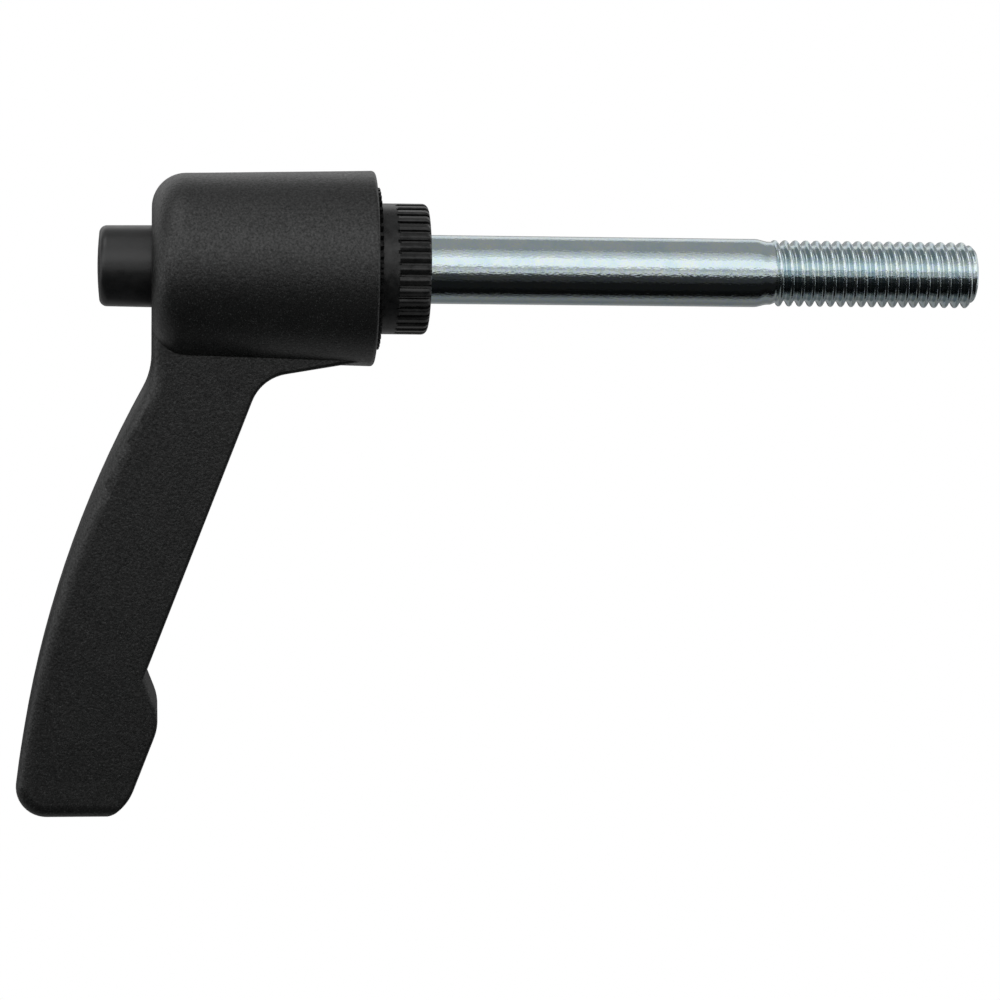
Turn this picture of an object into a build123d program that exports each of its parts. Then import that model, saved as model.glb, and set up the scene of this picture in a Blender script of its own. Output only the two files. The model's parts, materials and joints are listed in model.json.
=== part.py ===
from build123d import *
from math import cos, pi, radians, sin, sqrt, tan
import os

# Adjustable clamping lever with a push button, all sizes in millimetres.
# The stud's axis is Z, and the origin is the centre of the collar's seating
# face.  The threaded end points to -Z, the button to +Z, the arm to +X.

# ---- stud (zinc-plated steel, M8 x 1.25) ----
stud_diameter = 8.0
stud_length = 65.0            # from the seating face to the threaded tip
thread_diameter = 7.8         # over the crests
thread_length = 24.4
thread_tip_diameter = 6.2
thread_tip_chamfer = 0.9
neck_diameter = 7.4           # rolling blank left bare above the thread
neck_length = 0.9
neck_cone_length = 1.0
tenon_diameter = 7.0          # pressed into the insert up to the shank's shoulder

# ---- toothed insert (black steel) ----
collar_diameter = 15.2
collar_height = 5.65
collar_edge_radius = 0.7
knurl_length = 3.9
knurl_count = 36
knurl_groove_width = 0.42
knurl_groove_depth = 0.4
gear_tip_diameter = 18.8
gear_tooth_depth = 0.8
gear_tooth_count = 48         # one tooth is 7.5 degrees
gear_length = 5.2
gear_reveal = 0.55            # ring of teeth left showing below the hub
spigot_diameter = 12.0
spigot_length = 6.65
spigot_chamfer = 0.4
bore_chamfer = 0.6            # leads the tenon in, just wider than the shank

# ---- lever (glass-filled nylon moulding) ----
hub_mouth_diameter = 22.7
hub_length = 25.7
hub_draft = 1.43              # degrees
hub_top_radius = 4.0
hub_mouth_radius = 0.45
recess_chamfer = 0.3
web_thickness = 1.6
web_gap = 0.5                 # between the spigot's top and the web
screw_hole_clearance = 0.2    # radial
arm_thickness = 9.4
arm_reach = 64.6
arm_tip_rise = 16.0           # tip's upper corner above the hub's top
arm_start = 1.25              # outer edge leaves the hub this far outside it
arm_outer_radius = 129.0
arm_neck_radius = 8.0
tip_upper_radius = 3.6
tip_lower_radius = 6.0
tip_heel_rise = 3.3
finger_bump_reach = 52.7
finger_bump_drop = 1.3
finger_bump_radius = 6.0
finger_notch_inset = 5.1      # notch starts this far inside the bump
finger_notch_rise = 0.7
finger_notch_radius = 0.8
gusset_width = 1.05           # how far the gusset stands out at its top
gusset_drop = 12.6
gusset_foot_inset = 0.1       # its foot starts this far inside the hub's skin
gusset_foot_rise = 0.6
gusset_radius = 5.0
arm_outer_edge_radius = 1.8
arm_inner_edge_radius = 0.45

# ---- push button (smooth black plastic cap) ----
button_diameter = 9.5
button_stand_out = 6.2
button_draft = 0.7            # degrees
button_edge_radius = 0.9
button_dome = 0.3
button_clearance = 0.15       # radial, in the hub's chamber

# ---- retaining screw, washer and spring ----
shoulder_diameter = 5.0
screw_thread_diameter = 4.0
screw_thread_length = 8.0
screw_hole_spare = 0.6
screw_head_diameter = 7.0
screw_head_height = 3.2
screw_socket_width = 2.5
screw_socket_depth = 1.6
washer_diameter = 9.2
washer_thickness = 0.6
washer_clearance = 0.05       # radial, round the shoulder
button_depth = 1.9            # how deep the button reaches into the hub
spring_wire = 0.6
spring_wire_sides = 6         # round wire, drawn with few faces
spring_clearance = 0.35       # radial, in the hub's chamber
spring_turns = 5.5

# ---- fits ----
gear_backlash = 0.08
guide_clearance = 0.05        # radial, spigot in its bore

# ---- levels along the axis ----
gear_top = collar_height + gear_length
hub_mouth = collar_height + gear_reveal
hub_top = hub_mouth + hub_length
spigot_top = gear_top + spigot_length
web_bottom = spigot_top + web_gap
web_top = web_bottom + web_thickness
button_base = hub_top - button_depth
button_top = hub_top + button_stand_out
washer_bottom = button_base - washer_thickness

hub_mouth_r = hub_mouth_diameter / 2
hub_top_r = hub_mouth_r - hub_length * tan(radians(hub_draft))
chamber_r = button_diameter / 2 + button_clearance
gear_tip_r = gear_tip_diameter / 2


def turned(points, radii=None):
    """Solid of revolution about Z from (radius, height) corners."""
    outline = make_face(Polyline(*points, close=True))
    for (r, z), size in (radii or {}).items():
        corner = outline.vertices().sort_by_distance((r, z, 0))[0]
        outline = fillet(corner, size)
    return revolve(Plane.XZ * outline, Axis.Z)


def rod(diameter, low, high):
    """Plain cylinder on the axis between two levels."""
    return Pos(0, 0, low) * extrude(Circle(diameter / 2), high - low)


def tooth_ring(tip_r, root_r, flank_gap):
    """Closed outline of the serration: straight-flanked teeth round the axis."""
    pitch = 2 * pi / gear_tooth_count
    half_tip = pitch * 0.17 + flank_gap / tip_r
    half_root = pitch * 0.36 + flank_gap / root_r
    corners = []
    for i in range(gear_tooth_count):
        middle = i * pitch
        for r, a in (
            (root_r, middle - half_root),
            (tip_r, middle - half_tip),
            (tip_r, middle + half_tip),
            (root_r, middle + half_root),
        ):
            corners.append((r * cos(a), r * sin(a)))
    return make_face(Polyline(*corners, close=True))


def make_stud():
    r = stud_diameter / 2
    tip = -stud_length
    thread_top = tip + thread_length
    neck_top = thread_top + neck_length
    thread_r = thread_diameter / 2
    neck_r = neck_diameter / 2
    tenon_r = tenon_diameter / 2
    body = turned([
        (0, tip),
        (thread_tip_diameter / 2, tip),
        (thread_r, tip + thread_tip_chamfer),
        (thread_r, thread_top - (thread_r - neck_r)),
        (neck_r, thread_top),
        (neck_r, neck_top),
        (r, neck_top + neck_cone_length),
        (r, 0),
        (tenon_r, 0),
        (tenon_r, spigot_top),
        (0, spigot_top),
    ])
    hole_depth = screw_thread_length + screw_hole_spare
    return body - rod(screw_thread_diameter, spigot_top - hole_depth, spigot_top)


def knurl_groove():
    """One straight groove of the collar, with a sloping run-out."""
    r = collar_diameter / 2
    floor = r - knurl_groove_depth
    over = 1.0
    side = make_face(Polyline(
        (floor, -over),
        (r + over, -over),
        (r + over, knurl_length + over),
        (floor, knurl_length - knurl_groove_depth),
        close=True,
    ))
    return extrude(Plane.XZ * side, knurl_groove_width / 2, both=True)


def make_toothed_insert():
    collar_r = collar_diameter / 2
    spigot_r = spigot_diameter / 2
    collar = turned(
        [(0, 0), (collar_r, 0), (collar_r, collar_height), (0, collar_height)],
        {(collar_r, 0): collar_edge_radius},
    )
    grooves = [Rot(0, 0, 360 / knurl_count * i) * knurl_groove() for i in range(knurl_count)]
    collar = collar - grooves
    teeth = tooth_ring(gear_tip_r, gear_tip_r - gear_tooth_depth, 0)
    gear = Pos(0, 0, collar_height) * extrude(teeth, gear_length)
    spigot = turned([
        (0, gear_top),
        (spigot_r, gear_top),
        (spigot_r, spigot_top - spigot_chamfer),
        (spigot_r - spigot_chamfer, spigot_top),
        (0, spigot_top),
    ])
    mouth_r = tenon_diameter / 2 + bore_chamfer
    lead_in = turned([(0, 0), (mouth_r, 0), (mouth_r - bore_chamfer, bore_chamfer), (0, bore_chamfer)])
    return collar + gear + spigot - rod(tenon_diameter, 0, spigot_top) - lead_in


def arm_outer_blank():
    """Arm seen as everything under its outer edge, that edge well rounded."""
    start = (hub_mouth_r + arm_start, hub_top)
    corner = (arm_reach, hub_top + arm_tip_rise)
    foot = hub_mouth
    edge = RadiusArc(start, corner, arm_outer_radius)
    rest = Polyline(corner, (arm_reach, foot), (0, foot), (0, hub_top), start)
    outline = make_face([edge, rest])
    for point, size in ((start, arm_neck_radius), (corner, tip_upper_radius)):
        vertex = outline.vertices().sort_by_distance((*point, 0))[0]
        outline = fillet(vertex, size)
    plate = extrude(Plane.XZ * outline, arm_thickness / 2, both=True)
    rim = [
        e for e in plate.edges()
        if abs(abs(e.center().Y) - arm_thickness / 2) < 1e-3
        and (e.center().Z > hub_top - 1e-3 or e.center().X > arm_reach - tip_upper_radius)
    ]
    return fillet(rim, arm_outer_edge_radius)


def arm_inner_blank():
    """Arm seen as everything above its underside: gusset, grip notch and bump."""
    above = hub_top + 2 * arm_tip_rise
    skin = sqrt(hub_mouth_r ** 2 - (arm_thickness / 2) ** 2)
    foot = (skin - gusset_foot_inset, hub_mouth + gusset_foot_rise)
    gusset = (hub_mouth_r + gusset_width, hub_top - gusset_drop)
    notch = (finger_bump_reach - finger_notch_inset, hub_top + finger_notch_rise)
    bump = (finger_bump_reach, hub_top - finger_bump_drop)
    heel = (arm_reach + 0.3, hub_top + tip_heel_rise)
    outside = (arm_reach + 0.9, hub_top + arm_tip_rise)
    outline = make_face(Polyline(
        (0, foot[1]), foot, gusset, notch, bump, heel, outside,
        (outside[0], above), (0, above),
        close=True,
    ))
    for point, size in (
        (gusset, gusset_radius),
        (notch, finger_notch_radius),
        (bump, finger_bump_radius),
        (heel, tip_lower_radius),
    ):
        vertex = outline.vertices().sort_by_distance((*point, 0))[0]
        outline = fillet(vertex, size)
    plate = extrude(Plane.XZ * outline, arm_thickness / 2, both=True)
    rim = [
        e for e in plate.edges()
        if abs(abs(e.center().Y) - arm_thickness / 2) < 1e-3
        and e.center().Z < hub_top + arm_tip_rise
        and e.center().X > foot[0] - 1
        and e.center().Z > foot[1] + 1e-3
    ]
    return fillet(rim, arm_inner_edge_radius)


def lever_bore():
    """Everything taken out of the hub: toothed recess, guide, hole, chamber."""
    tip_r = gear_tip_r + gear_backlash
    teeth = tooth_ring(tip_r, tip_r - gear_tooth_depth, gear_backlash)
    recess = Pos(0, 0, hub_mouth - 1) * extrude(teeth, gear_top - hub_mouth + 1)
    lead_in = turned([
        (0, hub_mouth - 1),
        (tip_r + recess_chamfer + 1, hub_mouth - 1),
        (tip_r - gear_tooth_depth, hub_mouth + gear_tooth_depth + recess_chamfer),
        (0, hub_mouth + gear_tooth_depth + recess_chamfer),
    ])
    guide = rod(spigot_diameter + 2 * guide_clearance, gear_top, web_bottom)
    hole = rod(shoulder_diameter + 2 * screw_hole_clearance, web_bottom, web_top)
    chamber = rod(2 * chamber_r, web_top, hub_top + 1)
    return recess + lead_in + guide + hole + chamber


def make_lever():
    hub = turned(
        [(0, hub_mouth), (hub_mouth_r, hub_mouth), (hub_top_r, hub_top), (0, hub_top)],
        {(hub_mouth_r, hub_mouth): hub_mouth_radius, (hub_top_r, hub_top): hub_top_radius},
    )
    body = hub + (arm_outer_blank() & arm_inner_blank())
    return body - lever_bore()


def make_push_button():
    base_r = button_diameter / 2
    edge_z = button_top - button_dome
    edge_r = base_r - (edge_z - button_base) * tan(radians(button_draft))
    sphere_r = (edge_r ** 2 + button_dome ** 2) / (2 * button_dome)
    outline = make_face([
        Polyline((0, button_top), (0, button_base), (base_r, button_base), (edge_r, edge_z)),
        RadiusArc((edge_r, edge_z), (0, button_top), -sphere_r),
    ])
    corner = outline.vertices().sort_by_distance((edge_r, edge_z, 0))[0]
    cap = revolve(Plane.XZ * fillet(corner, button_edge_radius), Axis.Z)
    return cap - rod(screw_head_diameter, button_base, button_base + screw_head_height)


def make_retaining_screw():
    head_top = button_base + screw_head_height
    head = rod(screw_head_diameter, button_base, head_top)
    shoulder = rod(shoulder_diameter, spigot_top, button_base)
    shank = rod(screw_thread_diameter, spigot_top - screw_thread_length, spigot_top)
    hexagon = RegularPolygon(screw_socket_width / 2, 6, major_radius=False)
    socket = Pos(0, 0, head_top - screw_socket_depth) * extrude(hexagon, screw_socket_depth)
    return head + shoulder + shank - socket


def make_washer():
    ring = rod(washer_diameter, washer_bottom, button_base)
    return ring - rod(shoulder_diameter + 2 * washer_clearance, washer_bottom, button_base)


def make_spring():
    """Compression spring, its end coils ground flat on the web and the washer."""
    length = washer_bottom - web_top
    coil_r = chamber_r - spring_clearance - spring_wire / 2
    pitch = length / spring_turns
    line = Helix(pitch, length, coil_r, center=(0, 0, web_top))
    section = RegularPolygon(spring_wire / 2, spring_wire_sides)
    wire = sweep(Plane(origin=line @ 0, z_dir=line % 0) * section, line, is_frenet=True)
    return wire & rod(4 * chamber_r, web_top, washer_bottom)


if __name__ == "__main__":
    os.makedirs("parts", exist_ok=True)
    pieces = {
        "stud": make_stud(),
        "toothed_insert": make_toothed_insert(),
        "lever": make_lever(),
        "push_button": make_push_button(),
        "retaining_screw": make_retaining_screw(),
        "washer": make_washer(),
        "spring": make_spring(),
    }
    for name, piece in pieces.items():
        export_step(piece, f"parts/{name}.step")
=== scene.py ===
import json
from math import cos, pi, radians, sin, sqrt

import bmesh
import bpy
from mathutils import Matrix, Vector


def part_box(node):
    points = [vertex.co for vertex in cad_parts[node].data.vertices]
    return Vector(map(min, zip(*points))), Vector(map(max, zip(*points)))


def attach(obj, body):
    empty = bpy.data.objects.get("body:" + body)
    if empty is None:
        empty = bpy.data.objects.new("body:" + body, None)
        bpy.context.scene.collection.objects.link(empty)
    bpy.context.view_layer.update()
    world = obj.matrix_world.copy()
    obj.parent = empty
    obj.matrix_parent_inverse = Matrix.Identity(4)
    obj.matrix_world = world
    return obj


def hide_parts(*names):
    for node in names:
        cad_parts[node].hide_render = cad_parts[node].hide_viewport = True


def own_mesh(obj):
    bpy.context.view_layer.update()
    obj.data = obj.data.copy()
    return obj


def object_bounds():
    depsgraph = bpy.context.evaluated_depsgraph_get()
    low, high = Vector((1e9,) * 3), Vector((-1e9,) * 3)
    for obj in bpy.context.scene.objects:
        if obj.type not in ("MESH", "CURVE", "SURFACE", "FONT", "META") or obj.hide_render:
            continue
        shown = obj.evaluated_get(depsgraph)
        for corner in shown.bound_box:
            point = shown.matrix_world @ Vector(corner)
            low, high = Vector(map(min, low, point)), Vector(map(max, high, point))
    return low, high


# Looks of the adjustable clamping lever.  Metres and the row frame throughout:
# +Z along the stud towards the button, +X along the arm.

MM = 0.001
ROUND_STEPS = 128
WELD = 1e-7                   # points nearer than this are one
SHARP_ANGLE = radians(35)

# ---- thread, ISO metric 60 degree form on the record's crest size ----
THREAD_PITCH = 1.25 * MM
THREAD_HEIGHT = THREAD_PITCH * sqrt(3) / 2
THREAD_NOMINAL_R = 4.0 * MM
THREAD_APEX_R = THREAD_NOMINAL_R + THREAD_HEIGHT / 8   # where its flanks would meet
THREAD_ROOT_ROUND = THREAD_HEIGHT / 6
THREAD_START_TURN = 0.35      # where round the stud a crest crosses the tip
RUN_OUT_SLOPE = 0.45

# ---- stud, beyond what the record's mounts give ----
TIP_R = 3.1 * MM
NECK_R = 3.7 * MM
NECK_LENGTH = 0.9 * MM
NECK_BARE = 0.35              # share of the neck before it swells to the shank
NECK_STEPS = 10
EDGE_ROW = 0.25 * MM          # spare rows beside an edge keep the long faces' shading true
TENON_R = 3.5 * MM
TAPPED_HOLE_R = 2.0 * MM
TAPPED_HOLE_DEPTH = 8.6 * MM

# ---- collar's knurl, its ribs crowned ----
KNURL_COUNT = 36
KNURL_LENGTH = 3.7 * MM
KNURL_CROWN = 0.13 * MM
TOOTH_RING_LEVEL = 5.6 * MM   # the teeth above this sit in the hub's recess and reflect less: painted shade, partly oil

# ---- spring ----
SPRING_WIRE_R = 0.3 * MM
SPRING_TURNS = 5.5
SPRING_STEPS = 48             # rows in one turn
SPRING_SIDES = 10             # faces round the wire

# ---- camera ----
CAMERA_PLACE = Vector((-33.954, 368.95, 32.23)) * MM
CAMERA_TARGET = Vector((27.2166, 0.0, -9.154)) * MM
CAMERA_ROLL = 0.0033
CAMERA_LENS = 114.54
CAMERA_SENSOR = 36.0

# ---- materials ----
NOISE_LOW, NOISE_HIGH = 0.3, 0.7   # most of a noise texture lies between these

# ---- studio ----
WORLD_LEVEL = 0.6
WALLS = (                     # from and to, degrees round the stud, and brightness
    (-60, -30, 0.012),
    (-30, -15, 0.045),
    (-15, -4, 0.07),
    (-4, 7, 0.90),
    (7, 18, 0.62),
    (18, 50, 1.45),
    (50, 62, 0.95),
    (62, 74, 0.72),
    (74, 98, 0.42),
    (98, 115, 0.42),
    (115, 135, 0.42),
    (135, 160, 1.00),
    (160, 178, 0.45),
    (178, 198, 0.12),
    (198, 220, 0.34),
    (220, 245, 0.22),
    (245, 265, 0.27),
    (265, 276, 0.10),
    (276, 300, 0.005),
)
FLOOR_DROP = 135 * MM         # below the stud's tip, out of the main view
FLOOR_R = 450 * MM
FLOOR_LIFT = 0.25             # added for the camera only, so that the paper looks pale
CARD_R = 800 * MM
CARD_REACH = 72               # degrees above and below the level plane
CARD_STEPS = 12

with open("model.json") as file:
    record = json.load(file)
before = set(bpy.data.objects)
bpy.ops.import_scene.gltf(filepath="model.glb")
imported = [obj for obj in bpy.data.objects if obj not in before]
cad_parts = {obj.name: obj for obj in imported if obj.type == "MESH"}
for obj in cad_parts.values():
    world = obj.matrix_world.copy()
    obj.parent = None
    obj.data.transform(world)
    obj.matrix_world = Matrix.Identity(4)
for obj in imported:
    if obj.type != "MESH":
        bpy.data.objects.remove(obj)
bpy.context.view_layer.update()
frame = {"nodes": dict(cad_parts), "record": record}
mounts = {m["name"]: m for m in frame["record"]["mounts"]}
crest_round = THREAD_APEX_R - mounts["thread"]["dims"]["r_mm"] * MM


# --------------------------------------------------------------------------
# meshes
# --------------------------------------------------------------------------
def new_object(name, bm):
    """A smooth-shaded object from a bmesh, its creases kept sharp."""
    bmesh.ops.remove_doubles(bm, verts=bm.verts, dist=WELD)
    bmesh.ops.dissolve_degenerate(bm, edges=bm.edges, dist=WELD)
    bmesh.ops.recalc_face_normals(bm, faces=bm.faces)
    for face in bm.faces:
        face.smooth = True
    for edge in bm.edges:
        edge.smooth = edge.calc_face_angle(0.0) < SHARP_ANGLE
    mesh = bpy.data.meshes.new(name)
    bm.to_mesh(mesh)
    bm.free()
    item = bpy.data.objects.new(name, mesh)
    bpy.context.scene.collection.objects.link(item)
    return item


def bridge_rows(bm, rows):
    """Quads between neighbouring closed rows, and a fan over each end row."""
    for low, high in zip(rows, rows[1:]):
        for i in range(len(low)):
            j = (i + 1) % len(low)
            bm.faces.new((low[i], low[j], high[j], high[i]))
    bm.faces.new(list(reversed(rows[0])))
    bm.faces.new(rows[-1])


def crest_offsets():
    """Heights over one pitch at which the thread's form is sampled."""
    half_pitch = THREAD_PITCH / 2
    crest_edge = crest_round * cos(pi / 6)
    root_edge = half_pitch - THREAD_ROOT_ROUND * cos(pi / 6)
    half = [crest_edge / 2, crest_edge, (crest_edge + root_edge) / 2, root_edge]
    half.append((root_edge + half_pitch) / 2)
    return [-t for t in reversed(half)] + [0.0] + half + [half_pitch]


def thread_radius(offset):
    """Radius of the rounded 60 degree thread at a height from its crest."""
    half_pitch = THREAD_PITCH / 2
    t = abs((offset + half_pitch) % THREAD_PITCH - half_pitch)
    from_root = half_pitch - t
    if t < crest_round * cos(pi / 6):
        return THREAD_APEX_R - 2 * crest_round + sqrt(crest_round ** 2 - t ** 2)
    if from_root < THREAD_ROOT_ROUND * cos(pi / 6):
        root_low = THREAD_APEX_R - THREAD_HEIGHT + 2 * THREAD_ROOT_ROUND
        return root_low - sqrt(THREAD_ROOT_ROUND ** 2 - from_root ** 2)
    return THREAD_APEX_R - t * sqrt(3)


def thread_ends():
    """Levels of the stud's tip, of the thread's full part, and of its top."""
    thread = mounts["thread"]
    centre, half = thread["pos_m"][2], thread["dims"]["length_mm"] * MM / 2
    full_high = centre + half
    top = full_high + thread["dims"]["r_mm"] * MM - NECK_R
    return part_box("stud")[0].z, centre - half, full_high, top


def trimmed(r, z, ends):
    """Thread radius kept under the tip's chamfer and the neck's, and over the run-out."""
    crest_r = mounts["thread"]["dims"]["r_mm"] * MM
    tip, full_low, full_high, top = ends
    chamfer = TIP_R + (crest_r - TIP_R) * (z - tip) / (full_low - tip)
    shoulder = crest_r - max(z - full_high, 0)
    run_out = NECK_R - (top - z) * RUN_OUT_SLOPE
    return min(max(r, run_out), chamfer, shoulder)


def add_helix(bm, ends):
    """Thread as rows that follow the helix; the row that ends a turn starts the next."""
    tip, _, _, top = ends

    def row(height, offset):
        verts = []
        for i in range(ROUND_STEPS):
            turn = i / ROUND_STEPS
            z = min(max(height + THREAD_PITCH * turn, tip), top)
            r = trimmed(thread_radius(offset), z, ends)
            a = 2 * pi * turn
            verts.append(bm.verts.new((r * cos(a), r * sin(a), z)))
        return verts

    offsets = crest_offsets()
    helix = []
    crest = tip - THREAD_PITCH * (1 + THREAD_START_TURN)
    while crest < top + THREAD_PITCH:
        helix += [row(crest + offset, offset) for offset in offsets]
        crest += THREAD_PITCH
    for k, (here, above) in enumerate(zip(helix, helix[1:])):
        for i in range(ROUND_STEPS - 1):
            bm.faces.new((here[i], here[i + 1], above[i + 1], above[i]))
        next_turn = k + len(offsets)
        if next_turn + 1 < len(helix):
            start, start_above = helix[next_turn], helix[next_turn + 1]
            bm.faces.new((here[-1], start[0], start_above[0], above[-1]))


def plain_profile(thread_top):
    """Radius and level from the thread's top up to the bottom of the tapped hole."""
    shank = mounts["shank"]["dims"]
    shank_r, shank_low = shank["r_mm"] * MM, -shank["length_mm"] * MM
    neck_top = thread_top + NECK_LENGTH * NECK_BARE
    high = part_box("stud")[1].z
    profile = [(NECK_R, thread_top)]
    for k in range(NECK_STEPS + 1):
        t = k / NECK_STEPS
        ease = t * t * (3 - 2 * t)
        profile.append((NECK_R + (shank_r - NECK_R) * ease, neck_top + (shank_low - neck_top) * t))
    return profile + [
        (shank_r, shank_low + EDGE_ROW),
        (shank_r, -EDGE_ROW),
        (shank_r, 0.0),
        (TENON_R, 0.0),
        (TENON_R, high),
        (TAPPED_HOLE_R, high),
        (TAPPED_HOLE_R, high - TAPPED_HOLE_DEPTH),
    ]


def make_stud():
    """Shank with a true helical thread, its neck, tip chamfer and hidden tenon."""
    bm = bmesh.new()
    ends = thread_ends()

    def ring(r, z):
        return [
            bm.verts.new((r * cos(a), r * sin(a), z))
            for a in (2 * pi * i / ROUND_STEPS for i in range(ROUND_STEPS))
        ]

    add_helix(bm, ends)
    rings = [ring(r, z) for r, z in plain_profile(ends[-1])]
    for lower, upper in zip(rings, rings[1:]):
        for i in range(ROUND_STEPS):
            j = (i + 1) % ROUND_STEPS
            bm.faces.new((lower[i], lower[j], upper[j], upper[i]))
    bm.faces.new(rings[-1])
    bm.faces.new(ring(TIP_R, ends[0]))
    stud = new_object("threaded_stud", bm)
    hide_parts("stud")
    return stud


def make_spring():
    """Round-wire compression spring, its end coils ground flat."""
    low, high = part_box("spring")
    coil_r = high.x - SPRING_WIRE_R
    total = int(SPRING_TURNS * SPRING_STEPS)
    bm = bmesh.new()
    rows = []
    for k in range(total + 1):
        a = 2 * pi * k / SPRING_STEPS
        z = low.z + (high.z - low.z) * k / total
        row = []
        for side in range(SPRING_SIDES):
            b = 2 * pi * side / SPRING_SIDES
            r = coil_r + SPRING_WIRE_R * cos(b)
            level = min(max(z + SPRING_WIRE_R * sin(b), low.z), high.z)
            row.append(bm.verts.new((r * cos(a), r * sin(a), level)))
        rows.append(row)
    bridge_rows(bm, rows)
    spring = new_object("coil_spring", bm)
    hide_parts("spring")
    return spring


# --------------------------------------------------------------------------
# materials
# --------------------------------------------------------------------------
class Finish:
    """A procedural material: a Principled shader and the nodes that feed it."""

    def __init__(self, name, **fixed):
        self.material = bpy.data.materials.new(name)
        self.material.use_nodes = True
        self.tree = self.material.node_tree
        self.shader = self.tree.nodes["Principled BSDF"]
        self.place = self.tree.nodes.new("ShaderNodeTexCoord").outputs["Object"]
        for socket, value in fixed.items():
            self.shader.inputs[socket.replace("_", " ")].default_value = value

    def link(self, source, target):
        self.tree.links.new(source, target)

    def stretched(self, scale):
        """Object coordinates scaled per axis, for streaks."""
        node = self.tree.nodes.new("ShaderNodeMapping")
        node.inputs["Scale"].default_value = scale
        self.link(self.place, node.inputs["Vector"])
        return node.outputs["Vector"]

    def noise(self, size, detail=2.0, rough=0.5, place=None):
        """Noise with grains of about the given size in metres."""
        node = self.tree.nodes.new("ShaderNodeTexNoise")
        node.inputs["Scale"].default_value = 1 / size
        node.inputs["Detail"].default_value = detail
        node.inputs["Roughness"].default_value = rough
        self.link(place or self.place, node.inputs["Vector"])
        return node.outputs["Fac"]

    def ramp(self, value, *stops):
        """Colour ramp over (position, colour) stops."""
        node = self.tree.nodes.new("ShaderNodeValToRGB")
        elements = node.color_ramp.elements
        while len(elements) < len(stops):
            elements.new(0.5)
        for element, (position, colour) in zip(elements, stops):
            element.position = position
            element.color = (*colour, 1) if len(colour) == 3 else colour
        self.link(value, node.inputs["Fac"])
        return node.outputs["Color"]

    def spread(self, value, low, high):
        """The middle range of a noise stretched over low to high."""
        node = self.tree.nodes.new("ShaderNodeMapRange")
        node.inputs["From Min"].default_value = NOISE_LOW
        node.inputs["From Max"].default_value = NOISE_HIGH
        node.inputs["To Min"].default_value = low
        node.inputs["To Max"].default_value = high
        self.link(value, node.inputs["Value"])
        return node.outputs["Result"]

    def mix(self, factor, a, b, kind="MIX"):
        """Two colours mixed or blended by a factor; each may be a value or a socket."""
        node = self.tree.nodes.new("ShaderNodeMix")
        node.data_type = "RGBA"
        node.blend_type = kind
        for value, socket in ((factor, 0), (a, 6), (b, 7)):
            if isinstance(value, bpy.types.NodeSocket):
                self.link(value, node.inputs[socket])
            else:
                node.inputs[socket].default_value = value
        return node.outputs[2]

    def math(self, operation, a, b=0.0):
        """One sum on one or two numbers; each may be a value or a socket."""
        node = self.tree.nodes.new("ShaderNodeMath")
        node.operation = operation
        for value, socket in zip((a, b), node.inputs):
            if isinstance(value, bpy.types.NodeSocket):
                self.link(value, socket)
            else:
                socket.default_value = value
        return node.outputs[0]

    def axes(self):
        """Object coordinates as three values."""
        node = self.tree.nodes.new("ShaderNodeSeparateXYZ")
        self.link(self.place, node.inputs[0])
        return node.outputs

    def bump(self, value, depth, strength=1.0, under=None):
        """Relief of the given depth in metres, laid over another relief if given."""
        node = self.tree.nodes.new("ShaderNodeBump")
        node.inputs["Distance"].default_value = depth
        node.inputs["Strength"].default_value = strength
        self.link(value, node.inputs["Height"])
        if under is not None:
            self.link(under, node.inputs["Normal"])
        return node.outputs["Normal"]

    def feed(self, **sources):
        """The finished material, its shader's inputs fed from the named sources."""
        for socket, source in sources.items():
            self.link(source, self.shader.inputs[socket.replace("_", " ")])
        return self.material


def grey(level):
    return (level, level, level)


def nylon():
    """Black glass-filled nylon, spark-eroded mould grain with pale fibre flecks."""
    m = Finish("grained_nylon")
    grain = m.noise(0.30 * MM, 3.0, 0.6)
    mottle = m.noise(5.0 * MM, 2.0)
    flecks = m.noise(0.16 * MM, 1.0)
    base = m.ramp(mottle, (0.3, (0.0055, 0.0060, 0.0060)), (0.7, (0.0082, 0.0087, 0.0085)))
    pale = m.ramp(flecks, (0.62, grey(0.0)), (0.74, grey(1.0)))
    colour = m.mix(pale, base, (0.034, 0.036, 0.036, 1))
    relief = m.bump(grain, 0.05 * MM)
    relief = m.bump(mottle, 0.05 * MM, 0.5, relief)
    shine = m.noise(0.27 * MM, 2.0, 0.6)
    return m.feed(
        Base_Color=colour,
        Roughness=m.spread(grain, 0.30, 0.46),
        Specular_IOR_Level=m.spread(shine, 0.28, 0.72),
        Normal=relief,
    )


def button_plastic():
    """Smooth black plastic, slightly worn by thumbs."""
    m = Finish("button_plastic", Specular_IOR_Level=0.5)
    haze = m.noise(1.5 * MM, 3.0)
    fine = m.noise(0.12 * MM, 2.0)
    base = m.ramp(haze, (0.3, (0.0065, 0.0070, 0.0073)), (0.7, (0.0105, 0.0108, 0.0112)))
    relief = m.bump(fine, 0.006 * MM)
    return m.feed(Base_Color=base, Roughness=m.spread(haze, 0.28, 0.38), Normal=relief)


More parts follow.
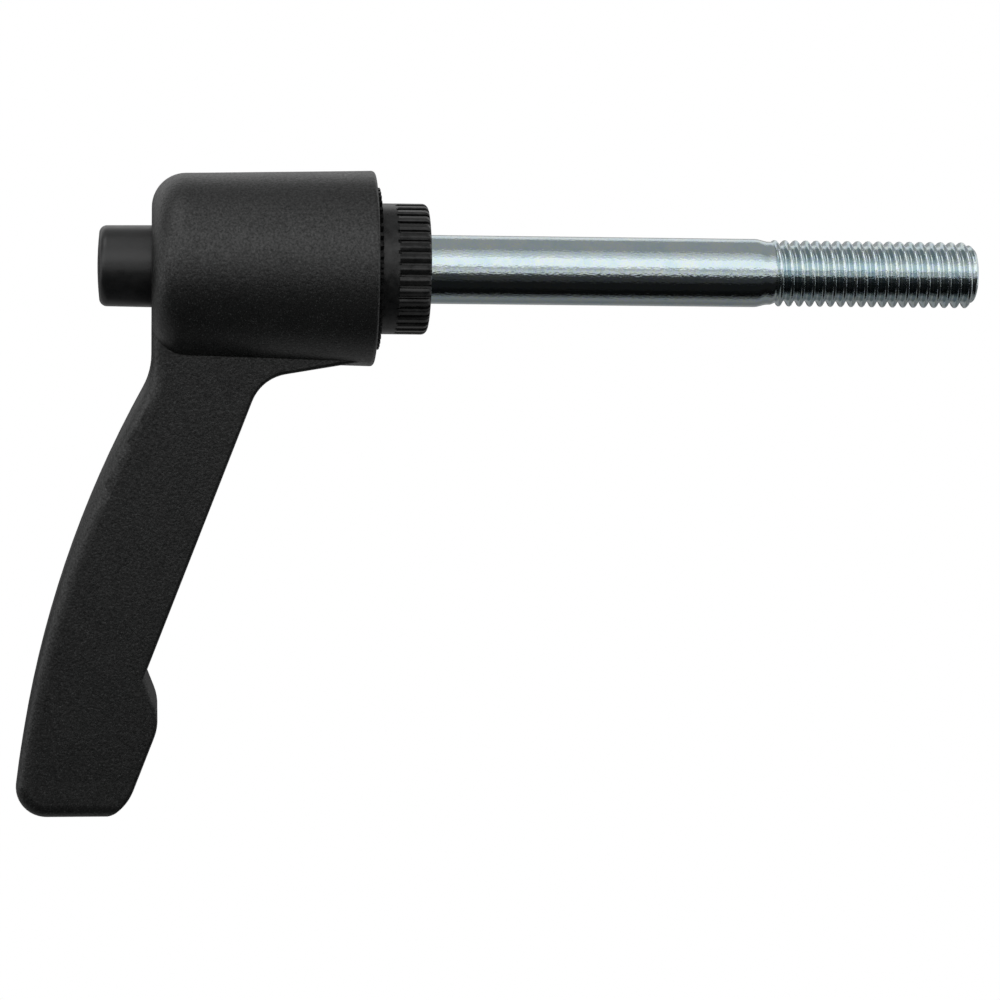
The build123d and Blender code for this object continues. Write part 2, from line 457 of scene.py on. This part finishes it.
def black_steel():
    """Black-oxide steel, worn high spots, turning marks, the knurl's ribs crowned, its toothed
    ring duller as painted shade and oil.
    """
    m = Finish("black_steel")
    x, y, z = m.axes()
    wave = m.math("COSINE", m.math("MULTIPLY", m.math("ARCTAN2", y, x), KNURL_COUNT))
    inside = m.math("LESS_THAN", z, KNURL_LENGTH)
    ribs = m.math("MULTIPLY", wave, inside)
    patches = m.noise(0.9 * MM, 4.0, 0.65)
    fine = m.noise(0.10 * MM, 2.0)
    turning = m.noise(0.12 * MM, 2.0, place=m.stretched((0.15, 0.15, 1.0)))
    base = m.ramp(patches, (0.3, (0.0048, 0.0052, 0.0055)), (0.72, (0.013, 0.0135, 0.0135)))
    # Teeth in the hub's recess get a lower specular level: painted shade, partly oil.
    recess_shade_and_oil = m.math("GREATER_THAN", z, TOOTH_RING_LEVEL)
    shine = m.math("SUBTRACT", m.spread(patches, 0.26, 0.50), m.math("MULTIPLY", recess_shade_and_oil, 0.26))
    relief = m.bump(ribs, -KNURL_CROWN)
    relief = m.bump(turning, 0.006 * MM, 0.6, m.bump(fine, 0.008 * MM, 1.0, relief))
    return m.feed(
        Base_Color=base,
        Roughness=m.spread(patches, 0.26, 0.40),
        Specular_IOR_Level=shine,
        Normal=relief,
    )


def zinc():
    """Bright zinc plate, a little hammered, with faint blue and straw tints."""
    m = Finish("bright_zinc", Metallic=1.0)
    stain = m.noise(2.2 * MM, 3.0, 0.6)
    fleck = m.noise(0.24 * MM, 1.0)
    dents = m.noise(0.20 * MM, 2.0, place=m.stretched((1.0, 1.0, 0.5)))
    waves = m.noise(1.6 * MM, 1.0)
    scratch = m.noise(0.10 * MM, 2.0, place=m.stretched((1.0, 1.0, 0.08)))
    colour = m.ramp(
        stain,
        (0.30, (0.44, 0.555, 0.58)),
        (0.48, (0.49, 0.585, 0.60)),
        (0.62, (0.53, 0.60, 0.59)),
        (0.75, (0.44, 0.56, 0.60)),
    )
    tint = m.ramp(
        fleck,
        (0.36, (1.0, 0.93, 1.12)),
        (0.45, grey(1.0)),
        (0.56, grey(1.0)),
        (0.68, (1.06, 1.02, 0.88)),
    )
    colour = m.mix(1.0, colour, tint, "MULTIPLY")
    relief = m.bump(waves, 0.006 * MM)
    relief = m.bump(dents, 0.020 * MM, 1.0, relief)
    relief = m.bump(scratch, 0.0015 * MM, 0.6, relief)
    return m.feed(Base_Color=colour, Roughness=m.spread(stain, 0.06, 0.11), Normal=relief)


def spring_wire():
    """Drawn spring wire with fine lengthwise marks."""
    m = Finish("spring_wire", Metallic=1.0)
    marks = m.noise(0.08 * MM, 2.0)
    colour = m.ramp(marks, (0.3, grey(0.22)), (0.7, grey(0.34)))
    return m.feed(Base_Color=colour, Roughness=m.spread(marks, 0.28, 0.4))


def paint(item, material):
    item.data.materials.clear()
    item.data.materials.append(material)


# --------------------------------------------------------------------------
# studio
# --------------------------------------------------------------------------
def add_camera():
    """The photo's view: from +Y, the stud's axis level and its tip to the right."""
    forward = (CAMERA_TARGET - CAMERA_PLACE).normalized()
    right = (-Vector((0, 0, 1)) + forward * forward.z).normalized()
    up = right.cross(forward)
    turn_right = cos(CAMERA_ROLL) * right + sin(CAMERA_ROLL) * up
    turn_up = cos(CAMERA_ROLL) * up - sin(CAMERA_ROLL) * right
    data = bpy.data.cameras.new("camera")
    data.lens = CAMERA_LENS
    data.sensor_width = CAMERA_SENSOR
    data.clip_start = 0.01
    camera = bpy.data.objects.new("camera", data)
    axes = Matrix((turn_right, turn_up, -forward)).transposed().to_4x4()
    camera.matrix_world = Matrix.Translation(CAMERA_PLACE) @ axes
    bpy.context.scene.collection.objects.link(camera)
    bpy.context.scene.camera = camera


def direction(around, along):
    """Unit vector at an angle round Z, from +Y towards -X, raised towards +Z."""
    a, e = radians(around), radians(along)
    return Vector((-sin(a) * cos(e), cos(a) * cos(e), sin(e)))


def add_softbox(name, around, along, distance, width, height, watts):
    """Rectangular lamp aimed at the origin; its width runs along the stud."""
    data = bpy.data.lights.new(name, "AREA")
    data.shape = "RECTANGLE"
    data.size = width
    data.size_y = height
    data.energy = watts
    lamp = bpy.data.objects.new(name, data)
    back = direction(around, along)
    side = Vector((0, 0, 1)).cross(back).normalized()
    axis = back.cross(side)
    turn = Matrix((axis, -side, back)).transposed().to_4x4()
    lamp.matrix_world = Matrix.Translation(back * distance) @ turn
    bpy.context.scene.collection.objects.link(lamp)


def emission(name, level):
    material = bpy.data.materials.new(name)
    material.use_nodes = True
    tree = material.node_tree
    tree.nodes.clear()
    glow = tree.nodes.new("ShaderNodeEmission")
    glow.inputs["Color"].default_value = (level, level, level, 1)
    output = tree.nodes.new("ShaderNodeOutputMaterial")
    tree.links.new(glow.outputs["Emission"], output.inputs["Surface"])
    return material


def add_card(name, start, end, level):
    """A slice of a big globe round the origin that only reflections see."""
    bm = bmesh.new()
    columns = []
    for i in range(CARD_STEPS + 1):
        around = start + (end - start) * i / CARD_STEPS
        levels = (CARD_REACH * (2 * k / CARD_STEPS - 1) for k in range(CARD_STEPS + 1))
        columns.append([bm.verts.new(direction(around, level) * CARD_R) for level in levels])
    for left, right in zip(columns, columns[1:]):
        for k in range(CARD_STEPS):
            bm.faces.new((left[k], left[k + 1], right[k + 1], right[k]))
    card = new_object(name, bm)
    paint(card, emission(name, level))
    card.visible_camera = False
    card.visible_diffuse = False
    card.visible_transmission = False
    card.visible_volume_scatter = False
    card.visible_shadow = False


def add_floor():
    """Pale paper far under the stud's tip, left out of reflections."""
    low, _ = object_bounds()
    bm = bmesh.new()
    bmesh.ops.create_circle(bm, cap_ends=True, segments=ROUND_STEPS, radius=FLOOR_R)
    bmesh.ops.translate(bm, verts=bm.verts, vec=(0, 0, low.z - FLOOR_DROP))
    floor = new_object("floor", bm)
    m = Finish("floor_paper", Roughness=0.9, Emission_Color=(1, 1, 1, 1))
    path = m.tree.nodes.new("ShaderNodeLightPath")
    paler = m.math("MULTIPLY", path.outputs["Is Camera Ray"], FLOOR_LIFT)
    m.link(paler, m.shader.inputs["Emission Strength"])
    m.feed(Base_Color=m.ramp(m.noise(40 * MM), (0.3, grey(0.80)), (0.7, grey(0.82))))
    paint(floor, m.material)
    floor.visible_glossy = False


def set_world():
    """White to camera, reflections and glass; a plain level for everything else."""
    world = bpy.data.worlds.new("studio")
    world.use_nodes = True
    tree = world.node_tree
    tree.nodes.clear()
    path = tree.nodes.new("ShaderNodeLightPath")
    seen = tree.nodes.new("ShaderNodeMath")
    seen.operation = "ADD"
    seen_all = tree.nodes.new("ShaderNodeMath")
    seen_all.operation = "ADD"
    seen_all.use_clamp = True
    plain = tree.nodes.new("ShaderNodeBackground")
    plain.inputs["Strength"].default_value = WORLD_LEVEL
    white = tree.nodes.new("ShaderNodeBackground")
    for background in (plain, white):
        background.inputs["Color"].default_value = (1, 1, 1, 1)
    mix = tree.nodes.new("ShaderNodeMixShader")
    output = tree.nodes.new("ShaderNodeOutputWorld")
    tree.links.new(path.outputs["Is Camera Ray"], seen.inputs[0])
    tree.links.new(path.outputs["Is Glossy Ray"], seen.inputs[1])
    tree.links.new(seen.outputs[0], seen_all.inputs[0])
    tree.links.new(path.outputs["Is Transmission Ray"], seen_all.inputs[1])
    tree.links.new(seen_all.outputs[0], mix.inputs["Fac"])
    tree.links.new(plain.outputs[0], mix.inputs[1])
    tree.links.new(white.outputs[0], mix.inputs[2])
    tree.links.new(mix.outputs[0], output.inputs["Surface"])
    bpy.context.scene.world = world


# --------------------------------------------------------------------------
# the object
# --------------------------------------------------------------------------
zinc_plate = zinc()
wire = spring_wire()

stud = make_stud()
paint(stud, zinc_plate)
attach(stud, "stud_assembly")

spring = make_spring()
paint(spring, wire)
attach(spring, "spring")
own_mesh(spring)

paint(frame["nodes"]["lever"], nylon())
paint(frame["nodes"]["push_button"], button_plastic())
paint(frame["nodes"]["toothed_insert"], black_steel())
paint(frame["nodes"]["retaining_screw"], zinc_plate)
paint(frame["nodes"]["washer"], zinc_plate)

add_camera()
add_floor()
set_world()
add_softbox("top", around=80, along=25, distance=0.60, width=0.40, height=0.30, watts=0.45)
add_softbox("end", around=30, along=50, distance=0.60, width=0.30, height=0.30, watts=0.12)
for number, (start, end, level) in enumerate(WALLS):
    add_card(f"wall_{number:02d}", start, end, level)

view_settings = bpy.context.scene.view_settings
view_settings.view_transform = "Standard"
